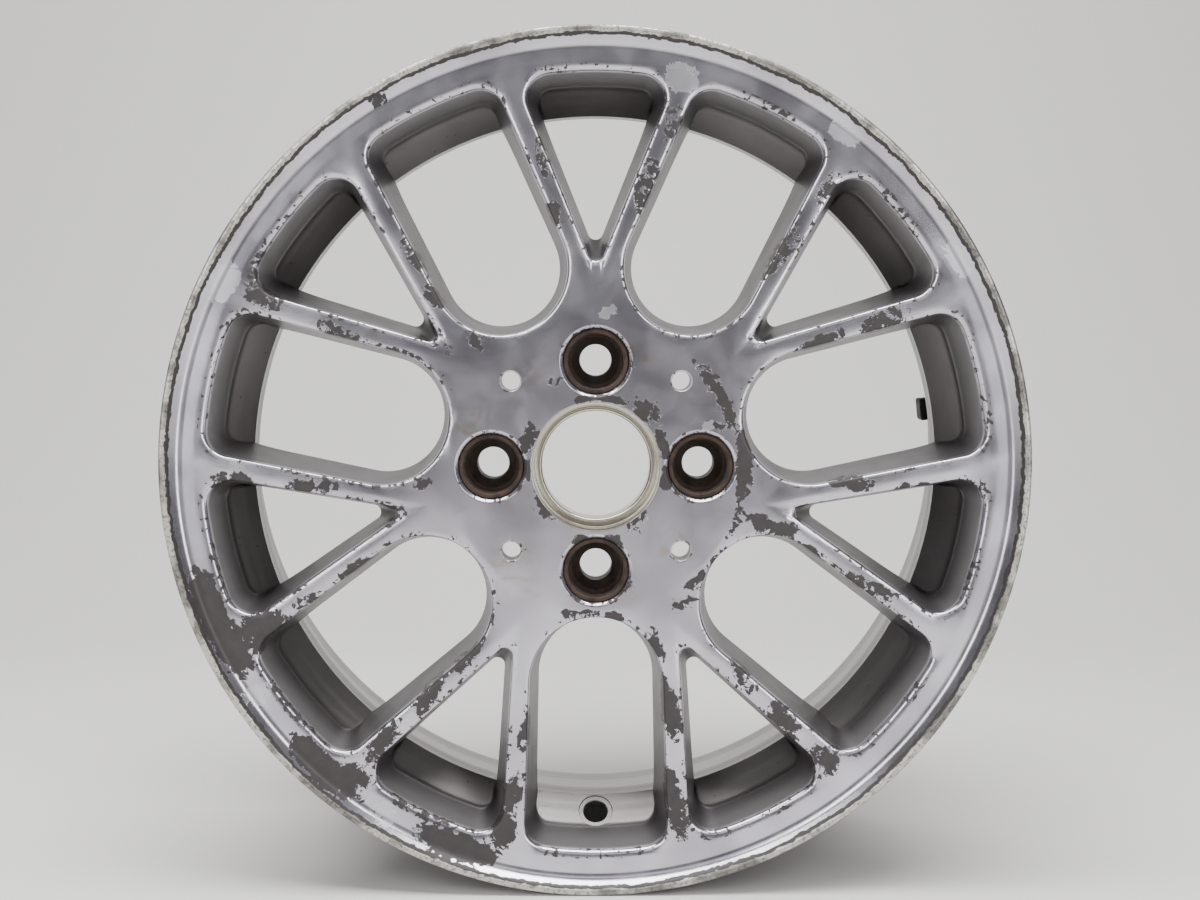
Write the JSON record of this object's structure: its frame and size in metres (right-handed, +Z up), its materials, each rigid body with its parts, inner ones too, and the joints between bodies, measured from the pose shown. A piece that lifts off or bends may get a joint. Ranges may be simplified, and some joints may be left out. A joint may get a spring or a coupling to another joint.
{
  "type": "wheel rim",
  "caption": "Forged light-alloy wheel with paired V spokes, a four-bolt hub, a drop-centre rim, an open valve hole and a worn silver finish.",
  "frame": {"origin": "on the wheel's axis, midway between the two flanges", "axes": "+Y along the axis, towards the car; the front face looks along -Y; +Z up, with the valve hole at the bottom"},
  "size_m": [0.4148, 0.174, 0.4148],
  "materials": {
    "silver_finish": "bright silver lacquer over aluminium, flaked to dark primer along the spokes and the lip",
    "barrel_finish": "satin silver, turned",
    "lug_steel": "blackened steel with brown grime",
    "ring_alloy": "bare turned aluminium",
    "spring_steel": "drawn wire",
    "weight_metal": "dark coated zinc",
    "foam_tape": "black foam"
  },
  "bodies": {
    "root": {"hub_centre": "silver_finish", "spoke_01": "silver_finish", "spoke_02": "silver_finish", "spoke_03": "silver_finish", "spoke_04": "silver_finish", "spoke_05": "silver_finish", "spoke_06": "silver_finish", "spoke_07": "silver_finish", "spoke_08": "silver_finish", "spoke_09": "silver_finish", "spoke_10": "silver_finish", "spoke_11": "silver_finish", "spoke_12": "silver_finish", "spoke_13": "silver_finish", "spoke_14": "silver_finish", "outer_flange": "silver_finish", "outer_bead_seat": "silver_finish", "drop_centre": "barrel_finish", "barrel": "barrel_finish", "inner_bead_seat": "barrel_finish", "inner_flange": "barrel_finish", "lug_seat_01": "lug_steel", "lug_seat_02": "lug_steel", "lug_seat_03": "lug_steel", "lug_seat_04": "lug_steel", "balance_weight": "weight_metal", "weight_tape": "foam_tape"},
    "ring": {"centring_ring": "ring_alloy", "retaining_wire": "spring_steel"}
  },
  "joints": [
    {"name": "ring_slide", "type": "slide", "parent": "root", "child": "ring", "axis": [0, 1, 0], "range_m": [0, 0.16]}
  ]
}
